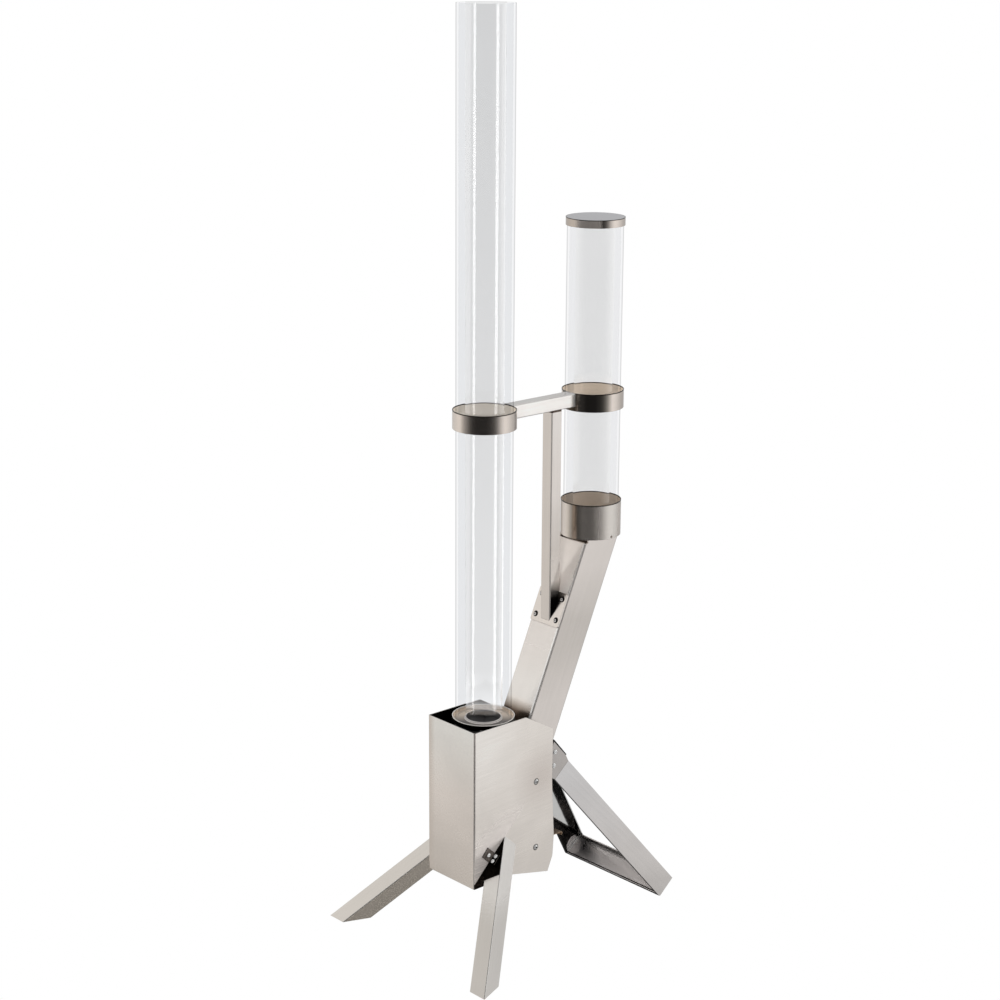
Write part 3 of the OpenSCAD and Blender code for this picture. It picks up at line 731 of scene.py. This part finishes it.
# Painted light: the left leg's faces that turn right are lighter and warmer.
dress(brushed("leg_left_brushed", (0.89, 0.85, 0.80), Z, rough=0.12, turn=(LEG_TURN[0], -LEG_TURN[1], 0),
              edge_r=0,
              layers=[(facing(X, 0.8), (0.99, 0.89, 0.77), 0.9),
                      (fold_highlight, (0.89, 0.86, 0.83), 0.7),
                      (fold_shade, (0.86, 0.83, 0.80), 0.7)]), "front_leg_left")


def clip_leaf_shade(t, *place):
    """All of a clip but the leaf that lies flat on the shroud, painted in shade."""
    return t.less(t.size(normal(t, X)), CLIP_FLAT)


dress(plain_metal("clip_steel", (0.20, 0.17, 0.15), 0.28, metallic=0.6,
                  layers=[(clip_leaf_shade, (0.012, 0.010, 0.009), 0.95)]), "leg_clip_left", "leg_clip_right")

# ---------------------------------------------------------------- rear stand
ARM_TURN = (-40, 16)  # degrees about x and y that lay the grain along an arm
ARM_TAB = 0.0404  # half the width across the arms' upper tabs
INNER = 0.5  # how far the inner face of the left arm faces right, at the least
LIGHT_SLOPE = 0.704  # fall over run of the lower edge of the light that face catches
LIGHT_EDGE = (0.2328, 0.2318)  # heights of that edge at the frame's middle
PATCH_Y, PATCH_Z = 0.259, 0.019  # middle of the lit patch beside the end of the foot bar
PATCH_R = (0.0168, 0.0160)
BAR_END = lowest("rear_foot_bar").x + 0.0053
SOLE_TOP = 0.0041

# Painted shade on the arms' upper tabs, on faces that turn down, and on the left arm's inner face below
# the light it catches.
arm_tab_shade = central(ARM_TAB)
underside_shade = turned_from(Z, -0.3)
arm_web_shade = both(facing(X, INNER), slant((0, LIGHT_SLOPE, 1), *LIGHT_EDGE))
lit_patch = both(facing(X, INNER), side_spot(PATCH_Y, PATCH_Z, *PATCH_R))
# The arm's dark reflection on the left end of the foot bar.
bar_shadow = both(slant((1, 0, 2.15), -0.016, -0.062), fade(X, -0.126, -0.098), fade(Z, -0.004, 0.024))

# Painted light and shade: the right arm lighter towards its top and darker towards its foot.
dress(brushed("arm_right_brushed", (0.83, 0.79, 0.765), Z, rough=0.12, streak=0.6, mottle=0.9,
              turn=(*ARM_TURN, 0), edge_r=0,
              layers=[(fade(Z, 0.10, 0.27), (0.88, 0.86, 0.855), 1.0),
                      (fade(Z, 0.09, 0.03), (0.70, 0.665, 0.64), 1.0),
                      (arm_tab_shade, (0.5, 0.47, 0.45), 1.0)]), "rear_arm_right")
dress(brushed("arm_left_brushed", (0.92, 0.92, 0.90), Z, rough=0.12, turn=(ARM_TURN[0], -ARM_TURN[1], 0),
              edge_r=0,
              layers=[(arm_tab_shade, (0.5, 0.47, 0.45), 1.0),
                      (arm_web_shade, (0.006, 0.005, 0.004), 0.95),
                      (underside_shade, (0.02, 0.018, 0.016), 0.95),
                      (lit_patch, (1.0, 0.94, 0.92), 0.4)]), "rear_arm_left")
# Painted shade on the bar's top faces and along its bottom edge, and painted light on its left end.
dress(brushed("foot_bar_brushed", (0.95, 0.89, 0.87), X, rough=0.12, edge_r=0, metal=0.4,
              layers=[(bar_shadow, (0.03, 0.031, 0.038), 0.9),
                      (facing(Z, 0.9), (0.05, 0.042, 0.035), 0.9),
                      (before(X, BAR_END), (0.95, 0.93, 0.91), 0.3),
                      (underside_shade, (0.02, 0.017, 0.015), 0.95),
                      (before(Z, SOLE_TOP), (0.01, 0.009, 0.008), 1.0)]), "rear_foot_bar")
dress(plain_metal("saddle_black", (0.03, 0.03, 0.03), 0.4, metallic=0.0), "stand_saddle")
dress(plain_metal("screw_steel", (0.97, 0.97, 0.96), 0.14, speck=0.03, metallic=0.3),
      "leg_clip_screws", "stand_screws")

# ---------------------------------------------------------------- tube seat and burner
THROAT_R = 0.0346
BORE_R = 0.0313
SEAT_RIM = SEAT_TOP - 0.0010  # height at which its rounded rim starts
SEAT_WALL = 0.0021  # depth at which the inside of its lip starts
SEAT_SKIN = 0.0004  # depth taken as its outside
TO_CAMERA = Vector((CAM_PLACE.x, CAM_PLACE.y - FLAME_Y, 0)).normalized()

# Painted shade on the seat's half towards the camera and on its outside below the rim.
seat_front_shade = slant(tuple(TO_CAMERA), -0.012, 0.020, at=(0, FLAME_Y, 0))
seat_rim = both(outside(SEAT_R - SEAT_WALL, FLAME_Y), beyond(Z, SEAT_RIM))
seat_outside = both(outside(SEAT_R - SEAT_SKIN, FLAME_Y), before(Z, SEAT_RIM))

dress(plain_metal("seat_steel", (0.80, 0.68, 0.56), 0.30, metallic=0.3,
                  layers=[(seat_front_shade, (0.20, 0.18, 0.165), 0.6),
                          (within(THROAT_R, FLAME_Y), (0.84, 0.80, 0.76), 0.3),
                          (within(BORE_R, FLAME_Y), (0.15, 0.14, 0.14), 0.5),
                          (seat_rim, (0.90, 0.86, 0.81), 0.3),
                          (seat_outside, PAINTED_SHADE, 1.0)]), "tube_seat")
# The burner, ash box, rear baffle and hopper floor are painted dark for the shade inside the shroud.
dress(plain_metal("burner_head_steel", (0.17, 0.165, 0.16), 0.4, metallic=0.4), "burner_head")
dress(plain_metal("riser_bare", (0.20, 0.195, 0.195), 0.4, metallic=0.4), "burner_riser")
dress(plain_metal("burner_shaded", (0.16, 0.15, 0.14), 0.5, metallic=0.6), "ash_box")
dress(plain_metal("shaded_dark", (0.12, 0.10, 0.085), 0.45), "rear_baffle", "hopper_floor")
dress(plain_metal("grate_iron", (0.08, 0.075, 0.07), 0.6), "fire_grate")
dress(plain_metal("pan_steel", (0.42, 0.38, 0.34), 0.35), "ash_pan", "shroud_spacers")
dress(plain_metal("handle_bronzed", (0.42, 0.31, 0.22), 0.35), "pan_handle")

# ---------------------------------------------------------------- glass tubes
PLAIN_FROM = 0.68  # share of the radius beyond which a ray passes straight through
PLAIN_SOONER = 0.13  # taken off that share where a ray leaves the glass
OUTLINE = (0.955, 0.99)  # shares between which the outline darkens
OUTLINE_TONE = 0.84  # of the plain rim's tint at its darkest
PLAIN_FADE = 0.03  # height over which the plain foot of a tube ends
EDGE_FACING = (0.62, 0.93)  # how far a wall faces away where the edge's tint sets in
WAVE_CONTRAST = 0.01
PANE = 0.93  # what a tube lets through to light and to soft reflections


def tube_share(t, place, facing_away, axis_y):
    """How far from the axis a ray passes, as a share of the tube's radius."""
    cosine = t.minus(1.0, facing_away)
    sine = t.math("SQRT", t.minus(1.0, t.times(cosine, cosine)))
    return t.times(sine, t.math("DIVIDE", reach(t, place[X], place[Y], axis_y), TUBE_R))


def glass(name, clear, edge, rim, axis_y, rough=0.0, ior=1.47, plain_to=None):
    """Borosilicate tube: faintly tinted, and plain and pale near its outline and below plain_to."""
    material, t = new_material(name)
    coord = t.add("TexCoord").outputs["Object"]
    place = t.split(coord)
    facing_away = t.add("LayerWeight", Blend=0.5).outputs["Facing"]
    wave = t.result("TexNoise", coord, Scale=9.0, Detail=1.0)
    body = t.mix(wave, scaled(clear, 1 - WAVE_CONTRAST), scaled(clear, 1 + WAVE_CONTRAST))
    tint = t.mix(t.ramp(facing_away, list(zip(EDGE_FACING, (0.0, 1.0)))), body, edge)
    refracting = t.result("BsdfPrincipled", tint, IOR=ior, Roughness=rough, Transmission_Weight=1.0)

    rays = t.add("LightPath").outputs
    indirect = t.math("MAXIMUM", rays["Is Shadow Ray"], rays["Is Diffuse Ray"])
    soft = t.minus(rays["Is Reflection Ray"], rays["Is Singular Ray"])
    pane = t.result("BsdfTransparent", scaled(WHITE, PANE))
    main = t.result("MixShader", t.math("MAXIMUM", indirect, soft), refracting, pane)

    share = tube_share(t, place, facing_away, axis_y)
    leaving = t.times(t.add("NewGeometry").outputs["Backfacing"], PLAIN_SOONER)
    plain = t.more(t.plus(share, leaving), PLAIN_FROM)
    if plain_to:
        plain = t.math("MAXIMUM", plain, t.step(place[Z], plain_to + PLAIN_FADE, plain_to))
    rim_tint = t.mix(t.step(share, *OUTLINE), rim, scaled(rim, OUTLINE_TONE))
    straight = t.result("BsdfTransparent", rim_tint)
    t.add("OutputMaterial", Surface=t.result("MixShader", plain, main, straight))
    return material


dress(glass("flame_tube_glass", (0.81, 0.813, 0.818), (0.60, 0.62, 0.64), (0.944, 0.947, 0.952), FLAME_Y,
            plain_to=SEAT_TOP + 0.0144), "flame_tube")
dress(glass("hopper_tube_glass", (0.952, 0.954, 0.957), (0.66, 0.67, 0.68), (0.953, 0.954, 0.958),
            HOPPER_Y, rough=0.025, ior=1.62), "hopper_tube")
